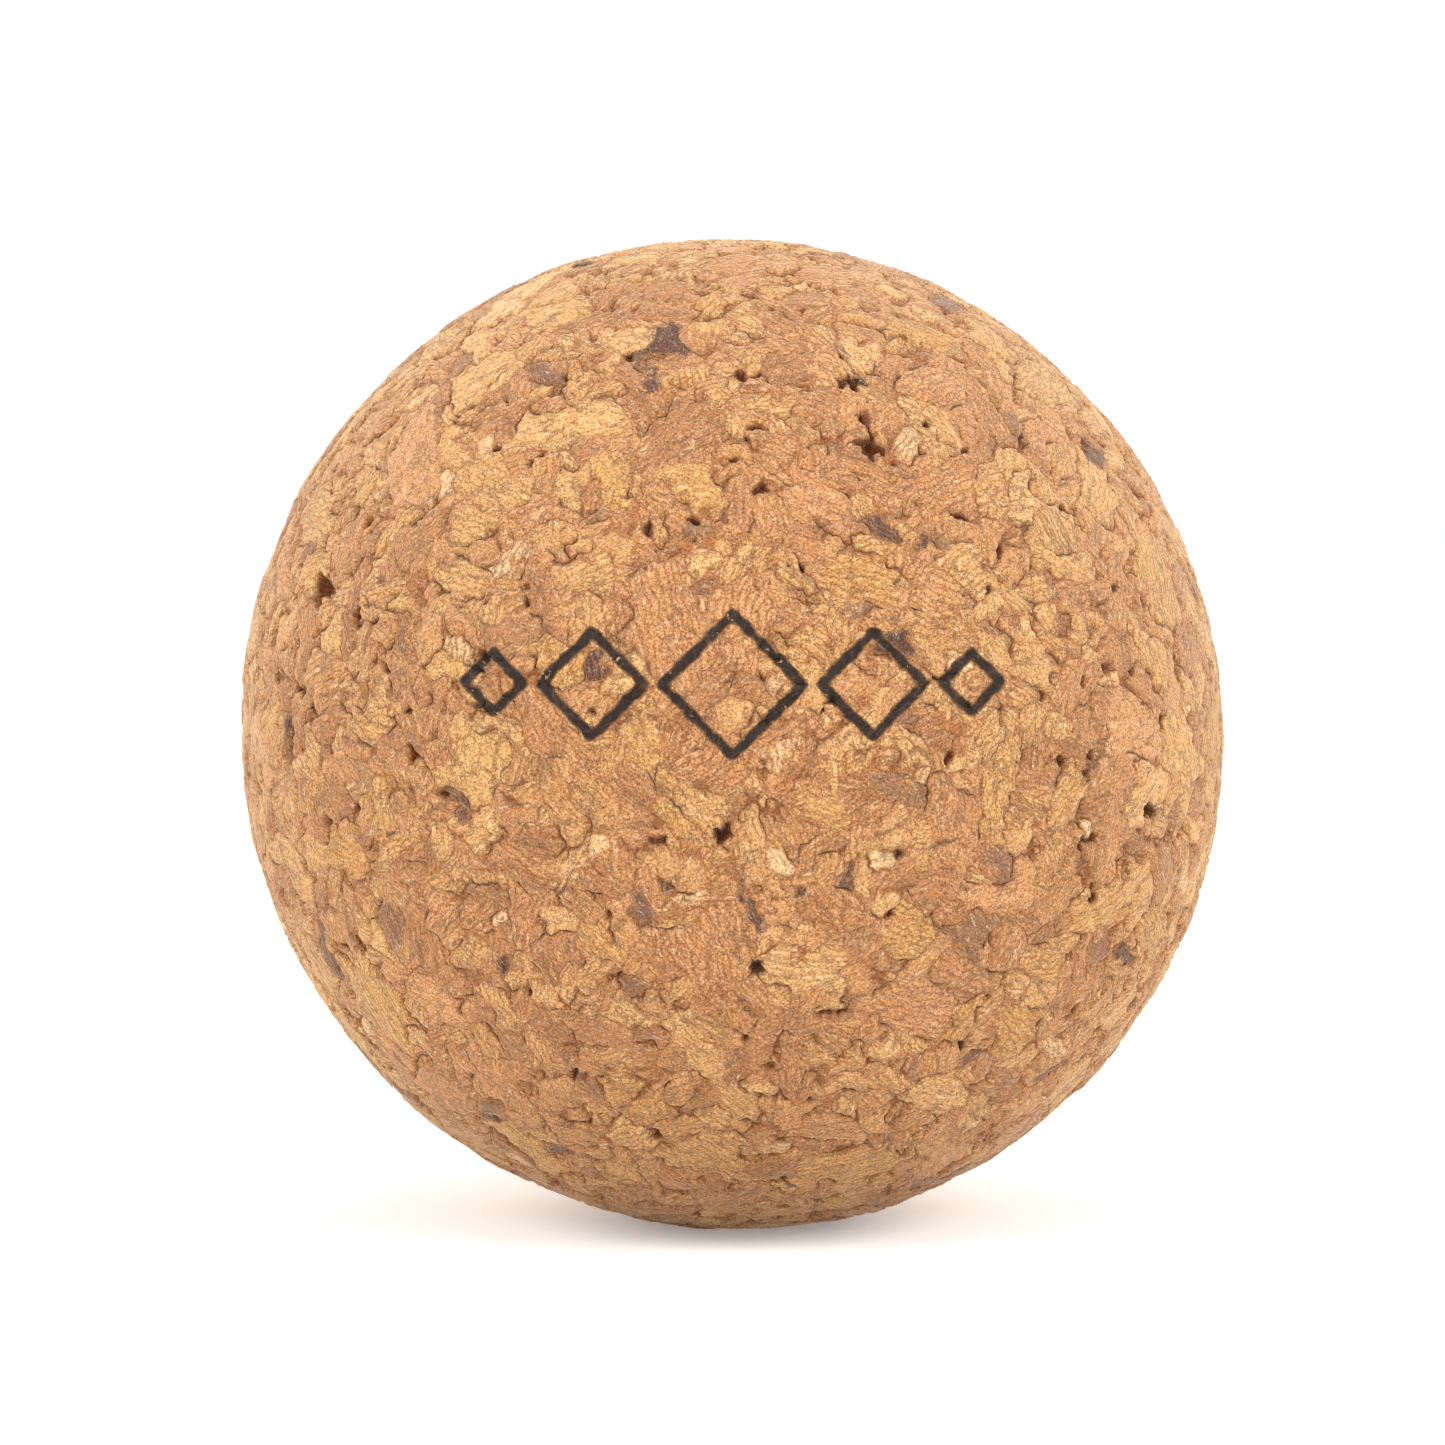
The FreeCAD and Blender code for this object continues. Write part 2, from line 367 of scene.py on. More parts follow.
def divide(triangles, owner, crossing):
    """Cut a mesh along the lines between owners.

    crossing(first, second) gives how far along each edge the line is. The result is the new triangles, the
    owner and the old triangle of each, and what carried() needs to add the new points: one for each cut
    edge, and then one for each triangle that three owners share, in the middle of its three cuts.
    """
    count = len(owner)
    corners = owner[triangles]
    edges = np.unique(np.sort(triangle_edges(triangles), axis=1), axis=0)
    edges = edges[owner[edges[:, 0]] != owner[edges[:, 1]]]
    share = np.clip(crossing(edges[:, 0], edges[:, 1]), *CUT_SHARES)
    keys = edges[:, 0] * count + edges[:, 1]

    def cut(first, second):
        key = np.minimum(first, second) * count + np.maximum(first, second)
        return count + np.searchsorted(keys, key)

    same = (corners[:, 0] == corners[:, 1]) & (corners[:, 1] == corners[:, 2])
    parts = [triangles[same]]
    owners = [corners[same, 0]]
    sources = [np.flatnonzero(same)]
    for odd in range(3):
        after, last = (odd + 1) % 3, (odd + 2) % 3
        two = (corners[:, after] == corners[:, last]) & (corners[:, odd] != corners[:, after])
        tip, right, left = (triangles[two, place] for place in (odd, after, last))
        on_right, on_left = cut(tip, right), cut(left, tip)
        parts += [
            np.stack([tip, on_right, on_left], axis=1),
            np.stack([on_right, right, left], axis=1),
            np.stack([on_right, left, on_left], axis=1),
        ]
        owners += [owner[tip], owner[right], owner[right]]
        sources += [np.flatnonzero(two)] * 3
    three = (corners[:, 0] != corners[:, 1]) & (corners[:, 1] != corners[:, 2])
    three &= corners[:, 2] != corners[:, 0]
    shared = triangles[three]
    middle = count + len(edges) + np.arange(len(shared))
    for place in range(3):
        tip, right, left = shared[:, place], shared[:, (place + 1) % 3], shared[:, (place + 2) % 3]
        parts += [
            np.stack([tip, cut(tip, right), middle], axis=1),
            np.stack([tip, middle, cut(left, tip)], axis=1),
        ]
        owners += [owner[tip], owner[tip]]
        sources += [np.flatnonzero(three)] * 2
    around = np.stack([cut(shared[:, place], shared[:, (place + 1) % 3]) for place in range(3)], axis=1)
    added = (edges, share, around - count)
    return np.concatenate(parts), np.concatenate(owners), np.concatenate(sources), added


def carried(values, added):
    """Per-vertex values, followed by those of the points that divide() added."""
    edges, share, around = added
    weight = share.reshape((-1,) + (1,) * (values.ndim - 1))
    cuts = values[edges[:, 0]] * (1 - weight) + values[edges[:, 1]] * weight
    return np.concatenate([values, cuts, cuts[around].mean(axis=1)])


def triangle_edges(triangles):
    """The directed edges of some triangles."""
    return np.concatenate([triangles[:, [0, 1]], triangles[:, [1, 2]], triangles[:, [2, 0]]])


def whole_granules(owner, triangles, spare, coarse_count):
    """Leave each coarse granule its largest patch of the mesh, and give its stray ones to fine granules."""
    edges = triangle_edges(triangles)
    label = islands(len(owner), edges[owner[edges[:, 0]] == owner[edges[:, 1]]])
    patches, patch, sizes = np.unique(label, return_inverse=True, return_counts=True)
    largest = np.zeros(owner.max() + 1, dtype=int)
    np.maximum.at(largest, owner[patches], sizes)
    stray = (owner < coarse_count) & (sizes[patch] < largest[owner])
    return np.where(stray, spare, owner)


def make_surface(granules):
    """The ball's outer skin, cut along the granules' outlines.

    Given are the directions of its points, its triangles and the owner of each, and for each point the
    distance to the nearest outline, the distance to a meeting of three granules, and the nearest granule.
    """
    directions, triangles = geodesic(MESH_FREQUENCY)
    step = math.sqrt(4 * math.pi / len(triangles) / TRIANGLE_AREA)
    directions = unit(directions + rng.uniform(-1, 1, directions.shape) * step * VERTEX_JITTER)
    field = warped(directions)
    near = granules.near(directions)
    scaled, _ = granules.distance(field[:, None], near)
    owner = near[np.arange(len(near)), scaled.argmin(axis=1)]
    spare = near[np.arange(len(near)), COARSE_NEIGHBOURS + scaled[:, COARSE_NEIGHBOURS:].argmin(axis=1)]
    owner = whole_granules(owner, triangles, spare, granules.coarse_count)

    def crossing(first, second):
        gap = []
        for point in (first, second):
            mine, _ = granules.distance(field[point], owner[first])
            theirs, _ = granules.distance(field[point], owner[second])
            gap.append(theirs - mine)
        return gap[0] / (gap[0] - gap[1])

    triangles, owners, _, added = divide(triangles, owner, crossing)
    directions = unit(carried(directions, added))
    field = carried(field, added)
    edges, _, around = added
    near = np.concatenate([near, near[edges[:, 0]], near[edges[around[:, 0], 0]]])
    scaled, reach = granules.distance(field[:, None], near)
    order = scaled.argsort(axis=1)[:, :3]
    scaled = np.take_along_axis(scaled, order, axis=1)
    slope = scaled / np.maximum(np.take_along_axis(reach, order, axis=1), 1e-6)
    edge = (scaled[:, 1] - scaled[:, 0]) / (slope[:, 0] + slope[:, 1])
    junction = (scaled[:, 2] - scaled[:, 0]) / (slope[:, 0] + slope[:, 2])
    nearest = np.take_along_axis(near, order[:, :1], axis=1)[:, 0]
    return directions, triangles, owners, np.maximum(edge, 0), np.maximum(junction, 0), nearest


def pit_depth(points):
    """The depth of the deeper pits, which have ragged outlines and steep sides."""
    ragged = layered(points, PIT_RAGGEDNESS)
    depth = np.zeros(len(points))
    for azimuth, elevation, half_width in PITS:
        level, turn = math.radians(elevation), math.radians(azimuth)
        centre = np.array([
            math.cos(level) * math.sin(turn), -math.cos(level) * math.cos(turn), math.sin(level),
        ])
        reach = np.linalg.norm(points - centre * BALL_RADIUS, axis=1) + ragged
        depth = np.maximum(depth, smoothstep(half_width * PIT_RIM, half_width * PIT_FLOOR, reach))
    return depth * PIT_DEPTH


def relief(directions, edge, junction, granules, nearest):
    """How far below the smooth ball each point of the skin is, in grooves and pits, and above it in lumps."""
    points = directions * BALL_RADIUS
    grain = (granules.local(points, nearest) + granules.shift[nearest]) * np.array(WRINKLE_STRETCH)
    broken = smoothstep(*CREVICE_RANGE, waves(points, CREVICE_WAVELENGTH))
    width = CREVICE_WIDTH * (1 + CREVICE_WIDENING * waves(points, CREVICE_WIDENING_WAVELENGTH))
    width = np.maximum(width, CREVICE_LEAST_WIDTH)
    groove = (HAIRLINE_DEPTH + CREVICE_DEPTH * broken) * np.exp(-(edge / width) ** 2)
    chosen = smoothstep(*GAP_RANGE, waves(points, GAP_WAVELENGTH))
    gap = GAP_DEPTH * chosen * np.exp(-(junction / GAP_WIDTH) ** 2)
    torn = smoothstep(*TEAR_RANGE, waves(points, TEAR_WAVELENGTH))
    tear = TEAR_DEPTH * torn * smoothstep(TEAR_WIDTH, 0, np.abs(waves(grain, TEAR_WAVELENGTH)))
    recess = np.maximum.reduce([groove, gap, tear, pit_depth(points)])
    lumps = layered(points, LUMPS)
    folds = sum(np.minimum(np.abs(waves(grain, wavelength)), 1) * height for wavelength, height in WRINKLES)
    lumps += (granules.lift[nearest] + folds) * (1 - np.exp(-(edge / GRANULE_SHOULDER) ** 2))
    return recess, lumps


def ball_shape(directions):
    """The radius of the turned ball in each direction."""
    longer = (directions @ np.array(LONG_AXIS)) ** 2 - (directions @ np.array(SHORT_AXIS)) ** 2
    return BALL_RADIUS * (1 + OUT_OF_ROUND * longer)


def write_piece(name, points, triangles, values, number, granules, material):
    """One piece in place of the CAD node of its name: mesh, granule coordinates and tints, and material.

    values are per vertex, by name, and number is each triangle's granule.
    """
    mesh = bpy.data.meshes.new(name)
    mesh.vertices.add(len(points))
    mesh.vertices.foreach_set("co", (points * MM).ravel())
    mesh.loops.add(triangles.size)
    mesh.loops.foreach_set("vertex_index", triangles.ravel())
    mesh.polygons.add(len(triangles))
    mesh.polygons.foreach_set("loop_start", np.arange(0, triangles.size, 3))
    mesh.update(calc_edges=True)
    corner = triangles.ravel()
    corner_number = np.repeat(number, 3)
    grain = granules.local(points[corner], corner_number) + granules.shift[corner_number]
    for label, column in (("grain", grain), ("tint", granules.tint[corner_number])):
        made = mesh.attributes.new(label, "FLOAT_VECTOR", "CORNER")
        made.data.foreach_set("vector", column.ravel())
    for label, column in values.items():
        made = mesh.attributes.new(label, "FLOAT", "POINT")
        made.data.foreach_set("value", column)
    mesh.polygons.foreach_set("use_smooth", np.ones(len(triangles), dtype=bool))
    mesh.set_sharp_from_angle(angle=math.radians(SHARP_ANGLE))
    mesh.materials.append(material)
    piece = bpy.data.objects.new(name, mesh)
    bpy.context.scene.collection.objects.link(piece)
    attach(piece, "root")
    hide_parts(name)


def compact(points, triangles, groups, values):
    """Keep only the vertices that the triangles use, one copy for each group that uses them."""
    keys = np.repeat(groups, 3) * len(points) + triangles.ravel()
    kept, renumbered = np.unique(keys, return_inverse=True)
    source = kept % len(points)
    kept_values = {label: column[source] for label, column in values.items()}
    return points[source], renumbered.reshape(-1, 3), kept_values


def open_edges(triangles):
    """The edges that only one triangle has, in that triangle's direction."""
    edges = triangle_edges(triangles)
    count = triangles.max() + 1
    forward = edges[:, 0] * count + edges[:, 1]
    backward = edges[:, 1] * count + edges[:, 0]
    return edges[~np.isin(forward, backward)]


def loops_of(edges):
    """Closed runs of vertices along directed edges."""
    after = dict(edges.tolist())
    loops = []
    while after:
        start, spot = after.popitem()
        loop = [start]
        while spot != start:
            loop.append(spot)
            spot = after.pop(spot)
        loops.append(loop)
    return loops


def floor_triangles(loops, points, along, across):
    """A sheet of triangles within some loops, facing the ball's centre.

    The loops are triangulated as seen from outside, in the granule's own directions along and across.
    """
    order = np.array([spot for loop in loops for spot in loop])
    starts = np.cumsum([0] + [len(loop) for loop in loops])
    edges = np.concatenate([
        np.stack([np.arange(low, high), np.roll(np.arange(low, high), -1)], axis=1)
        for low, high in zip(starts[:-1], starts[1:])
    ])
    flat = np.stack([points[order] @ along, points[order] @ across], axis=1)
    found = geometry.delaunay_2d_cdt([Vector(spot) for spot in flat], edges.tolist(), [], 1, 1e-7)
    origin = np.array([same[0] for same in found[3]])
    sheet = origin[np.array(found[2])]

    # Keep what is inside: a line from there to the side crosses the loops an odd number of times
    middle = flat[sheet].mean(axis=1)[:, None]
    start, end = flat[edges[:, 0]], flat[edges[:, 1]]
    rise = end[:, 1] - start[:, 1]
    crossed = (start[:, 1] > middle[..., 1]) != (end[:, 1] > middle[..., 1])
    share = (middle[..., 1] - start[:, 1]) / np.where(rise == 0, 1, rise)
    beside = start[:, 0] + share * (end[:, 0] - start[:, 0]) > middle[..., 0]
    sheet = sheet[(crossed & beside).sum(axis=1) % 2 == 1]

    first, second = flat[sheet[:, 1]] - flat[sheet[:, 0]], flat[sheet[:, 2]] - flat[sheet[:, 0]]
    outward = first[:, 0] * second[:, 1] > first[:, 1] * second[:, 0]
    sheet[outward] = sheet[outward][:, ::-1]
    return order[sheet]


def wall_triangles(edges, below):
    """Walls from directed edges down to the vertices numbered below them."""
    first, second = edges[:, 0], edges[:, 1]
    return np.concatenate([
        np.stack([second, first, below[first]], axis=1),
        np.stack([second, below[first], below[second]], axis=1),
    ])


def build_cork(materials):
    """The body and the coarse granules, all fitting together, and what the printed mark needs."""
    granules = Granules()
    directions, triangles, owners, edge, junction, nearest = make_surface(granules)
    recess, lumps = relief(directions, edge, junction, granules, nearest)
    radius = ball_shape(directions)
    points = directions * (radius - recess + lumps)[:, None]
    deep = directions * (radius - GRANULE_DEPTH)[:, None]
    all_points = np.concatenate([points, deep])
    values = {"edge": np.tile(edge, 2), "recess": np.concatenate([recess, np.full(len(deep), GRANULE_DEPTH)])}
    below = np.arange(len(points)) + len(points)
    kinds = granules.kind[owners]

    sheets = {}
    outlines = {}
    order = np.argsort(owners, kind="stable")
    starts = np.searchsorted(owners[order], np.arange(granules.coarse_count + 1))
    for number in range(granules.coarse_count):
        own = triangles[order[starts[number]:starts[number + 1]]]
        if len(own) == 0:
            continue
        outlines[number] = open_edges(own)
        loops = [[below[spot] for spot in loop] for loop in loops_of(outlines[number])]
        sheets[number] = floor_triangles(loops, all_points, granules.along[number], granules.across[number])

    for kind, name in enumerate(COARSE_KINDS):
        parts = [triangles[kinds == kind]]
        numbers = [owners[kinds == kind]]
        for number in np.flatnonzero(granules.kind == kind):
            if number in sheets:
                extra = [wall_triangles(outlines[number], below), sheets[number]]
                parts += extra
                numbers += [np.full(len(part), number) for part in extra]
        number = np.concatenate(numbers)
        made = compact(all_points, np.concatenate(parts), number, values)
        write_piece(name, *made, number, granules, materials[name])

    fine = kinds < 0
    skin = triangles[fine]
    rim = open_edges(skin)
    pockets = np.concatenate(list(sheets.values()))[:, ::-1]
    walls = wall_triangles(rim, below)
    parts = np.concatenate([skin, walls, pockets])
    number = np.concatenate([owners[fine], np.full(len(walls) + len(pockets), granules.coarse_count)])
    made = compact(all_points, parts, np.zeros(len(parts), dtype=int), values)
    write_piece(BODY, *made, number, granules, materials[BODY])
    return granules, points, triangles, owners, {"edge": edge, "recess": recess}


def mark_distance(points):
    """Distance from each point, seen from the front, to the pen line's rim: negative inside the line."""
    low, high = (np.array(corner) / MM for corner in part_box(MARK))
    across = np.abs(points[:, 0] - (low[0] + high[0]) / 2)
    up = np.abs(points[:, 2] - (low[2] + high[2]) / 2)
    nearest = np.full(len(points), np.inf)
    middle = 0
    for number, height in enumerate(DIAMONDS):
        if number > 0:
            middle += DIAMONDS[number - 1] / 2 + DIAMOND_GAP + height / 2
        reach = (height - MARK_STROKE) / 2
        aside = np.abs(across - middle)
        along = np.clip((up - aside + reach) / (2 * reach), 0, 1)
        nearest = np.minimum(nearest, np.hypot(aside - reach * (1 - along), up - reach * along))
    return nearest - MARK_STROKE / 2


def build_mark(material, granules, points, triangles, owners, values):
    """The ink film: the skin inside the pen line, a little above and below the cork's surface."""
    depth = mark_distance(points) + layered(points, MARK_RAGGEDNESS)
    front = (points[triangles][:, :, 1] < 0).all(axis=1) & (depth[triangles] < 0).any(axis=1)
    triangles, numbers = triangles[front], owners[front]
    inside = (depth < 0).astype(int)

    def crossing(first, second):
        return depth[first] / (depth[first] - depth[second])

    parts, owner, source, added = divide(triangles, inside, crossing)
    parts, number = parts[owner == 1], numbers[source[owner == 1]]
    points = carried(points, added)
    values = {label: carried(column, added) for label, column in (*values.items(), ("ink", -depth))}
    outward = unit(points)
    both = np.concatenate([points + outward * INK_RISE, points - outward * INK_SOAK])
    below = np.arange(len(points)) + len(points)
    walls = wall_triangles(open_edges(parts), below)
    film = np.concatenate([parts, below[parts][:, ::-1], walls])
    number = np.concatenate([number, number, np.full(len(walls), number[0])])
    doubled = {label: np.tile(column, 2) for label, column in values.items()}
    made = compact(both, film, np.zeros(len(film), dtype=int), doubled)
    write_piece(MARK, *made, number, granules, material)


def srgb(red, green, blue):
    """A colour given as it looks on a screen, 0 to 255, in the linear values that a shader takes."""
    def linear(level):
        share = level / 255
        return share / 12.92 if share <= 0.04045 else ((share + 0.055) / 1.055) ** 2.4
    return (linear(red), linear(green), linear(blue), 1.0)


class Shader:
    """A material being wired up. Inputs given as sockets are linked, and others are set."""

    def __init__(self, name):
        self.material = bpy.data.materials.new(name)
        self.material.use_nodes = True
        self.tree = self.material.node_tree
        self.tree.nodes.clear()

    def add(self, kind, inputs=None, **settings):
        """One node, with its inputs by name or place."""
        made = self.tree.nodes.new(kind)
        for key, value in settings.items():
            setattr(made, key, value)
        for key, value in (inputs or {}).items():
            if isinstance(value, bpy.types.NodeSocket):
                self.tree.links.new(value, made.inputs[key])
            else:
                made.inputs[key].default_value = value
        return made

    def math(self, operation, first, second=0.0, third=0.0):
        """The result of a Math node."""
        return self.add("ShaderNodeMath", {0: first, 1: second, 2: third}, operation=operation).outputs[0]

    def attribute(self, name, output):
        """A mesh attribute, as Vector or Fac."""
        return self.add("ShaderNodeAttribute", attribute_name=name).outputs[output]

    def noise(self, place, wavelength, detail=2.0, roughness=0.5, distortion=0.0):
        """Noise of a wavelength in the units of the place, from 0 to 1."""
        inputs = {
            "Vector": place, "Scale": 1 / wavelength, "Detail": detail, "Roughness": roughness,
            "Distortion": distortion,
        }
        return self.add("ShaderNodeTexNoise", inputs).outputs[0]

    def ramp(self, value, low, high, start=0.0, end=1.0):
        """A smooth change from start to end as the value goes from low to high."""
        inputs = {"Value": value, "From Min": low, "From Max": high, "To Min": start, "To Max": end}
        return self.add("ShaderNodeMapRange", inputs, interpolation_type="SMOOTHSTEP").outputs[0]

    def palette(self, value, stops):
        """Colours at places from 0 to 1."""
        made = self.add("ShaderNodeValToRGB", {0: value})
        elements = made.color_ramp.elements
        while len(elements) < len(stops):
            elements.new(0.5)
        for element, (place, colour) in zip(elements, stops):
            element.position = place
            element.color = srgb(*colour)
        return made.outputs[0]

    def mix(self, share, first, second, blend="MIX"):
        """One colour laid over another by a share."""
        inputs = {0: share, 6: first, 7: second}
        return self.add("ShaderNodeMix", inputs, data_type="RGBA", blend_type=blend).outputs[2]

    def stretch(self, place, scales):
        """A place with each of its three directions scaled."""
        return self.add("ShaderNodeVectorMath", {0: place, 1: scales}, operation="MULTIPLY").outputs[0]

    def show(self, surface):
        """Make a shader node the material's surface."""
        output = self.add("ShaderNodeOutputMaterial")
        self.tree.links.new(surface.outputs[0], output.inputs["Surface"])
        return self.material

    def finish(self, colour, roughness, height, bump, sheen):
        """The surface itself: colour, roughness, soft sheen and fine relief, the bump in metres."""
        relief = self.add("ShaderNodeBump", {"Strength": 1.0, "Distance": bump, "Height": height})
        return self.show(self.add("ShaderNodeBsdfPrincipled", {
            "Base Color": colour, "Roughness": roughness, "Normal": relief.outputs[0],
            "Specular IOR Level": SPECULAR, "Sheen Weight": sheen, "Sheen Roughness": SHEEN_ROUGHNESS,
            "Sheen Tint": SHEEN_TINT,
        }))


# Palettes, as places from 0 to 1 and colours as they look on a screen
GOLDEN = ((0.0, (176, 132, 79)), (0.5, (183, 140, 87)), (1.0, (189, 147, 94)))
ROSE = ((0.0, (169, 121, 80)), (0.5, (178, 130, 88)), (1.0, (185, 137, 94)))
PALE = ((0.0, (181, 138, 88)), (0.5, (189, 147, 96)), (1.0, (197, 156, 106)))
UMBER = ((0.0, (152, 108, 72)), (0.5, (161, 116, 79)), (1.0, (171, 125, 86)))
BARK = ((0.0, (58, 40, 35)), (0.5, (82, 58, 50)), (1.0, (116, 85, 68)))
CREAM = ((0.0, (192, 156, 110)), (0.5, (202, 170, 124)), (1.0, (211, 184, 142)))
COMMON = ((0.3, (159, 113, 74)), (0.5, (175, 127, 84)), (0.7, (186, 141, 94)))
GROUND = (
    (0.0, (153, 108, 72)), (0.15, (164, 117, 78)), (0.45, (176, 129, 85)), (0.8, (184, 142, 92)),
    (1.0, (193, 153, 103)),
)
SAND = ((0.35, (110, 50, 10)), (0.5, (185, 184, 179)), (0.65, (240, 244, 250)))
INK = ((0.3, (31, 22, 19)), (0.52, (48, 37, 32)), (0.72, (86, 66, 52)))
FLOOR_TONES = ((0.0, (239, 236, 231)), (1.0, (242, 239, 235)))

# Single colours of features
# Painted shade: the crevice colour darkens grooves, gaps, tears and pits, more the deeper they are
CREVICE_SHADE_COLOUR = srgb(108, 60, 28)
# Partly painted shade: the crease colour darkens torn creases, together with dark seams along granule
# outlines
CREASE_SHADE_COLOUR = srgb(128, 76, 38)
CHIP_COLOUR = srgb(106, 77, 66)
CREAM_CHIP = srgb(210, 180, 138)
FIBRE_COLOUR = srgb(150, 95, 50)
PALE_FLECK = srgb(226, 202, 164)
STREAK_COLOUR = srgb(112, 76, 50)
SOAKED_COLOUR = srgb(150, 108, 68)
WORN_COLOUR = srgb(196, 158, 112)

# How strongly each feature is laid over the colours beneath it
CHIP_SHARE = 0.7
CREAM_CHIP_SHARE = 0.6
FIBRE_SHARE = 0.46
FLECK_SHARE = 0.44
STREAK_SHARE = 0.6
CREASE_SHADE_SHARE = 0.6
SAND_SHARE = 0.73
INK_SAND_SHARE = 0.5

# Scaling of each feature along, across and out of its granule, so that it runs with the grain
FIBRE_STRETCH = (1.3, 3.6, 2.6)
STREAK_STRETCH = (0.22, 1.1, 0.8)
FLAKE_STRETCH = (0.5, 1.1, 1.0)
INK_STRETCH = (0.9, 3.2, 2.0)

# Surface finish: the wavelength of the sandy grain and the bumps' heights are in millimetres
SAND_WAVELENGTH = 0.14
CORK_BUMP = 0.11
INK_BUMP = 0.12
CORK_SHEEN = 0.5
INK_SHEEN = 0.1
SHEEN_ROUGHNESS = 0.3
SHEEN_TINT = (1.0, 0.84, 0.62, 1.0)
SPECULAR = 0.2


def cork_material(name, stops, rings=0.5, fade=0.35, chips=0.0):
    """Cork of one kind: a tone for each granule, growth rings, fibres, dark seams, and painted shade in torn
    creases and recesses.

    rings is how strong the growth rings are, fade is the width in millimetres over which a granule's rim
    takes on the common tone, and chips is the share of its granules that are dark, with as many again
    being cream.
    """
    shader = Shader(name)
    grain = shader.attribute("grain", "Vector")
    tint = shader.add("ShaderNodeSeparateXYZ", {0: shader.attribute("tint", "Vector")}).outputs
    edge = shader.attribute("edge", "Fac")
    recess = shader.attribute("recess", "Fac")
    place = shader.add("ShaderNodeTexCoord").outputs["Object"]

    # The granule's own tone, which fades into the common tone at its ragged rim
    cloud = shader.noise(grain, 1.9, detail=5, roughness=0.65)
    tone = shader.math("MULTIPLY_ADD", cloud, 0.6, shader.math("SUBTRACT", tint[0], 0.3))
    own = shader.palette(tone, stops)
    if chips:
        dark_chips = shader.ramp(tint[2], 1 - chips, 1.001 - chips, 0.0, CHIP_SHARE)
        own = shader.mix(dark_chips, own, CHIP_COLOUR)
        cream_chips = shader.ramp(tint[2], chips, chips - 0.001, 0.0, CREAM_CHIP_SHARE)
        own = shader.mix(cream_chips, own, CREAM_CHIP)
    ragged = shader.noise(place, 0.7 * MM, detail=4, roughness=0.7)
    depth = shader.math("MULTIPLY_ADD", shader.math("SUBTRACT", ragged, 0.5), 2 * fade, edge)
    colour = shader.mix(shader.ramp(depth, -0.2 * fade, fade), shader.palette(cloud, COMMON), own)

    # Growth rings on some granules, and fibres on all of them
    bands = shader.add("ShaderNodeTexWave", {
        "Vector": grain, "Scale": 0.7, "Distortion": 11.0, "Detail": 3.0, "Detail Scale": 0.7,
        "Detail Roughness": 0.65,
    }, bands_direction="Y").outputs["Fac"]
    patches = shader.noise(place, 1.7 * MM, detail=4, roughness=0.65)
    ringed = shader.math("MULTIPLY", shader.ramp(tint[1], 0.15, 0.5), shader.ramp(patches, 0.64, 0.5))
    ring = shader.math("MULTIPLY", shader.ramp(bands, 0.32, 0.03), ringed)
    colour = shader.mix(shader.math("MULTIPLY", ring, rings), colour, FIBRE_COLOUR)
    stretched = shader.stretch(grain, FIBRE_STRETCH)
    fibres = shader.noise(stretched, 1.0, detail=5, roughness=0.75, distortion=0.5)
    colour = shader.mix(shader.ramp(fibres, 0.47, 0.34, 0.0, FIBRE_SHARE), colour, FIBRE_COLOUR)
    colour = shader.mix(shader.ramp(fibres, 0.53, 0.68, 0.0, FLECK_SHARE), colour, PALE_FLECK)

    # Darker streaks along the grain
    stretched = shader.stretch(grain, STREAK_STRETCH)
    streaks = shader.noise(stretched, 1.0, detail=5, roughness=0.7, distortion=0.4)
    colour = shader.mix(shader.ramp(streaks, 0.54, 0.68, 0.0, STREAK_SHARE), colour, STREAK_COLOUR)

    # Torn creases: the rims of flakes where the surface is torn, and parts of the granules' outlines,
    # darkened partly as dark seams and partly as painted shade in the creases
    push = shader.add("ShaderNodeTexNoise", {"Vector": grain, "Scale": 1.1, "Detail": 5.0, "Roughness": 0.7})
    inputs = {0: push.outputs["Color"], 1: (1.8, 1.8, 1.8), 2: grain}
    pushed = shader.add("ShaderNodeVectorMath", inputs, operation="MULTIPLY_ADD").outputs[0]
    flaked = shader.stretch(pushed, FLAKE_STRETCH)
    rim = shader.add("ShaderNodeTexVoronoi", {"Vector": flaked, "Scale": 1.3}, feature="DISTANCE_TO_EDGE")
    width = shader.ramp(patches, 0.42, 0.66, 0.005, 0.10)
    flake_rim = shader.ramp(shader.math("DIVIDE", rim.outputs[0], width), 1.0, 0.2)
    seam = shader.ramp(shader.math("DIVIDE", edge, shader.math("MULTIPLY", width, 1.6)), 1.0, 0.2)
    crease_shade = shader.math("MAXIMUM", seam, flake_rim)
    colour = shader.mix(shader.math("MULTIPLY", crease_shade, CREASE_SHADE_SHARE), colour, CREASE_SHADE_COLOUR)
    # Painted shade in grooves, gaps, tears and pits, darker the deeper the recess
    colour = shader.mix(shader.ramp(recess, 0.04, 0.45), colour, CREVICE_SHADE_COLOUR)

    # Sandy grain over everything
    fine = shader.noise(place, SAND_WAVELENGTH * MM, detail=3, roughness=0.8)
    colour = shader.mix(SAND_SHARE, colour, shader.palette(fine, SAND), "OVERLAY")

    # Fine relief: uneven granules, fibres and sand, with rings and creases cut in
    rough = shader.math("MULTIPLY", shader.noise(grain, 0.7, detail=4, roughness=0.65), 0.6)
    height = shader.math("MULTIPLY_ADD", fibres, 0.35, shader.math("MULTIPLY", fine, 0.25))
    height = shader.math("ADD", rough, height)
    height = shader.math("SUBTRACT", height, shader.math("MULTIPLY", ring, 0.4))
    height = shader.math("SUBTRACT", height, shader.math("MULTIPLY", crease_shade, 0.4))
    roughness = shader.ramp(fine, 0.3, 0.7, 0.78, 0.94)
    return shader.finish(colour, roughness, height, CORK_BUMP * MM, CORK_SHEEN)


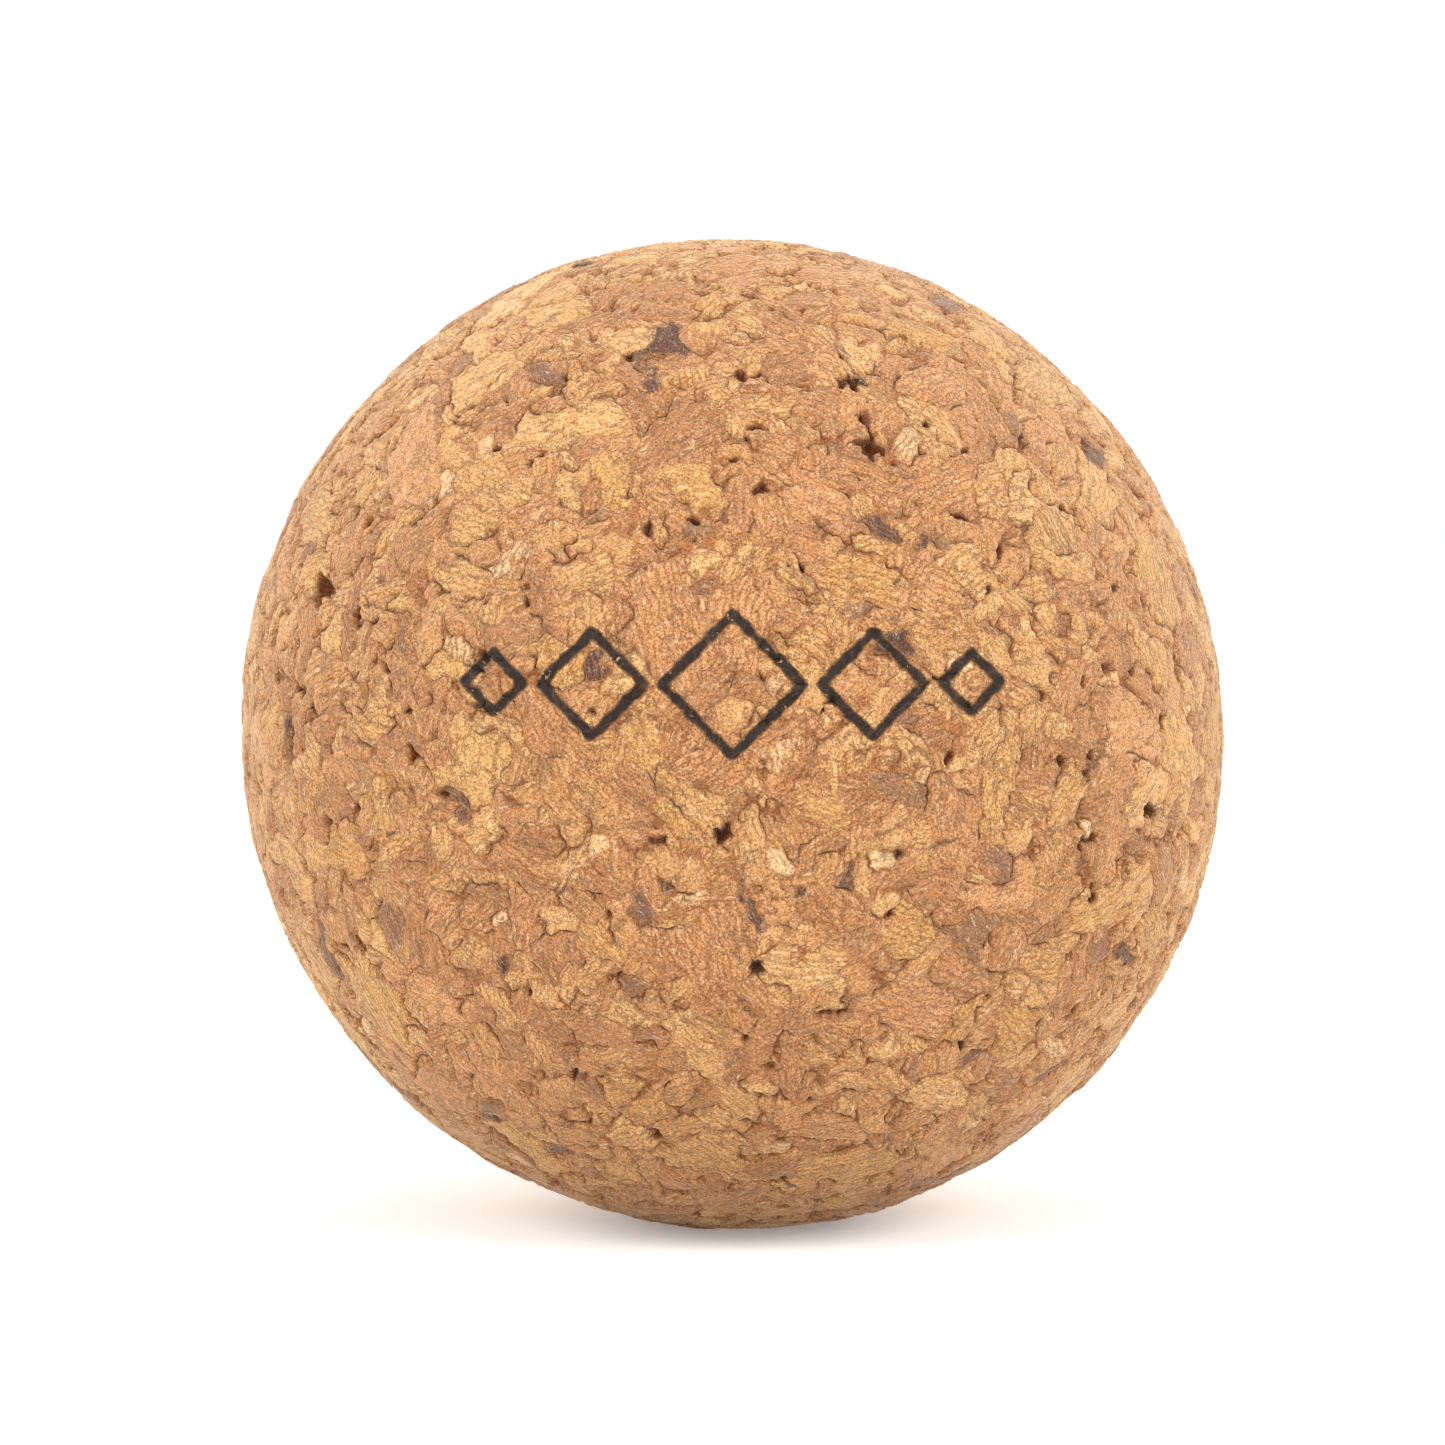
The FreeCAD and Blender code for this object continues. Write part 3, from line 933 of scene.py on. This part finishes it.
def ink_material():
    """Dark print soaked into the cork: paler at the line's rim and on some fibres, with a few worn specks."""
    shader = Shader("ink")
    grain = shader.attribute("grain", "Vector")
    inked = shader.attribute("ink", "Fac")
    place = shader.add("ShaderNodeTexCoord").outputs["Object"]
    stretched = shader.stretch(grain, INK_STRETCH)
    fibres = shader.noise(stretched, 1.0, detail=5, roughness=0.75, distortion=0.8)
    fine = shader.noise(place, SAND_WAVELENGTH * MM, detail=3, roughness=0.8)
    colour = shader.palette(fibres, INK)
    soaked = shader.math("MULTIPLY_ADD", shader.noise(place, 0.3 * MM, detail=3, roughness=0.7), 0.24, inked)
    colour = shader.mix(shader.ramp(soaked, 0.28, 0.05), colour, SOAKED_COLOUR)
    worn = shader.ramp(shader.noise(place, 0.5 * MM, detail=3, roughness=0.6), 0.65, 0.74)
    colour = shader.mix(worn, colour, WORN_COLOUR)
    colour = shader.mix(INK_SAND_SHARE, colour, shader.palette(fine, SAND), "OVERLAY")
    roughness = shader.ramp(fine, 0.3, 0.7, 0.66, 0.84)
    return shader.finish(colour, roughness, shader.math("ADD", fibres, fine), INK_BUMP * MM, INK_SHEEN)


def make_floor(height):
    """A plain white table that the ball lies on, which glows a little and is far wider than the view."""
    half = FLOOR_HALF_WIDTH * BALL_RADIUS * MM
    mesh = bpy.data.meshes.new("floor")
    mesh.from_pydata(
        [(-half, -half, height), (half, -half, height), (half, half, height), (-half, half, height)],
        [], [(0, 1, 2, 3)],
    )
    shader = Shader("floor_white")
    place = shader.add("ShaderNodeTexCoord").outputs["Object"]
    colour = shader.palette(shader.noise(place, FLOOR_WAVELENGTH), FLOOR_TONES)
    surface = shader.add("ShaderNodeBsdfDiffuse", {"Color": colour, "Roughness": 1.0})
    glow = shader.add("ShaderNodeEmission", {"Strength": FLOOR_GLOW})
    both = shader.add("ShaderNodeAddShader", {0: surface.outputs[0], 1: glow.outputs[0]})
    mesh.materials.append(shader.show(both))
    floor = bpy.data.objects.new("floor", mesh)
    bpy.context.scene.collection.objects.link(floor)


def add_light(name, place, size, power):
    """A soft square light, aimed at the ball. Its place and size are in ball radii."""
    data = bpy.data.lights.new(name, "AREA")
    data.shape = "SQUARE"
    data.size = size * BALL_RADIUS * MM
    data.energy = power
    light = bpy.data.objects.new(name, data)
    light.location = Vector(place) * BALL_RADIUS * MM
    light.rotation_euler = (-light.location).to_track_quat("-Z", "Y").to_euler()
    bpy.context.scene.collection.objects.link(light)


def add_camera():
    """A long lens almost level with the ball, which fills two thirds of the view."""
    data = bpy.data.cameras.new("camera")
    data.sensor_width = SENSOR_WIDTH
    ball_slope = math.tan(math.asin(1 / CAMERA_DISTANCE))
    data.lens = SENSOR_WIDTH / 2 * BALL_SHARE_OF_VIEW / ball_slope
    data.clip_end = 100.0
    camera = bpy.data.objects.new("camera", data)
    rise = math.radians(CAMERA_ELEVATION)
    place = Vector((0, -math.cos(rise), math.sin(rise))) * CAMERA_DISTANCE
    aim = Vector((-AIM_LEFT, 0, AIM_ABOVE))
    camera.location = (place + aim) * BALL_RADIUS * MM
    camera.rotation_euler = (-place).to_track_quat("-Z", "Y").to_euler()
    bpy.context.scene.collection.objects.link(camera)
    bpy.context.scene.camera = camera


def light_studio():
    """White surroundings on every side, with soft lights from the left, the right, above and behind."""
    world = bpy.data.worlds.new("studio")
    world.use_nodes = True
    background = world.node_tree.nodes["Background"]
    background.inputs["Color"].default_value = (1.0, 1.0, 1.0, 1.0)
    background.inputs["Strength"].default_value = WORLD_STRENGTH
    bpy.context.scene.world = world
    bpy.context.scene.view_settings.view_transform = "Standard"
    for light in LIGHTS:
        add_light(*light)


materials = {
    "golden_granules": cork_material("cork_golden", GOLDEN, rings=0.6),
    "rose_granules": cork_material("cork_rose", ROSE, rings=0.65),
    "pale_granules": cork_material("cork_pale", PALE, rings=0.4),
    "umber_granules": cork_material("cork_umber", UMBER, rings=0.7),
    "bark_chips": cork_material("bark", BARK, fade=0.25),
    "cream_specks": cork_material("cream_cork", CREAM, rings=0.15, fade=0.25),
    BODY: cork_material("cork_ground", GROUND, rings=0.6, chips=0.035),
}
cork = build_cork(materials)
build_mark(ink_material(), *cork)

model_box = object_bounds()
make_floor(model_box[0][2])
add_camera()
light_studio()
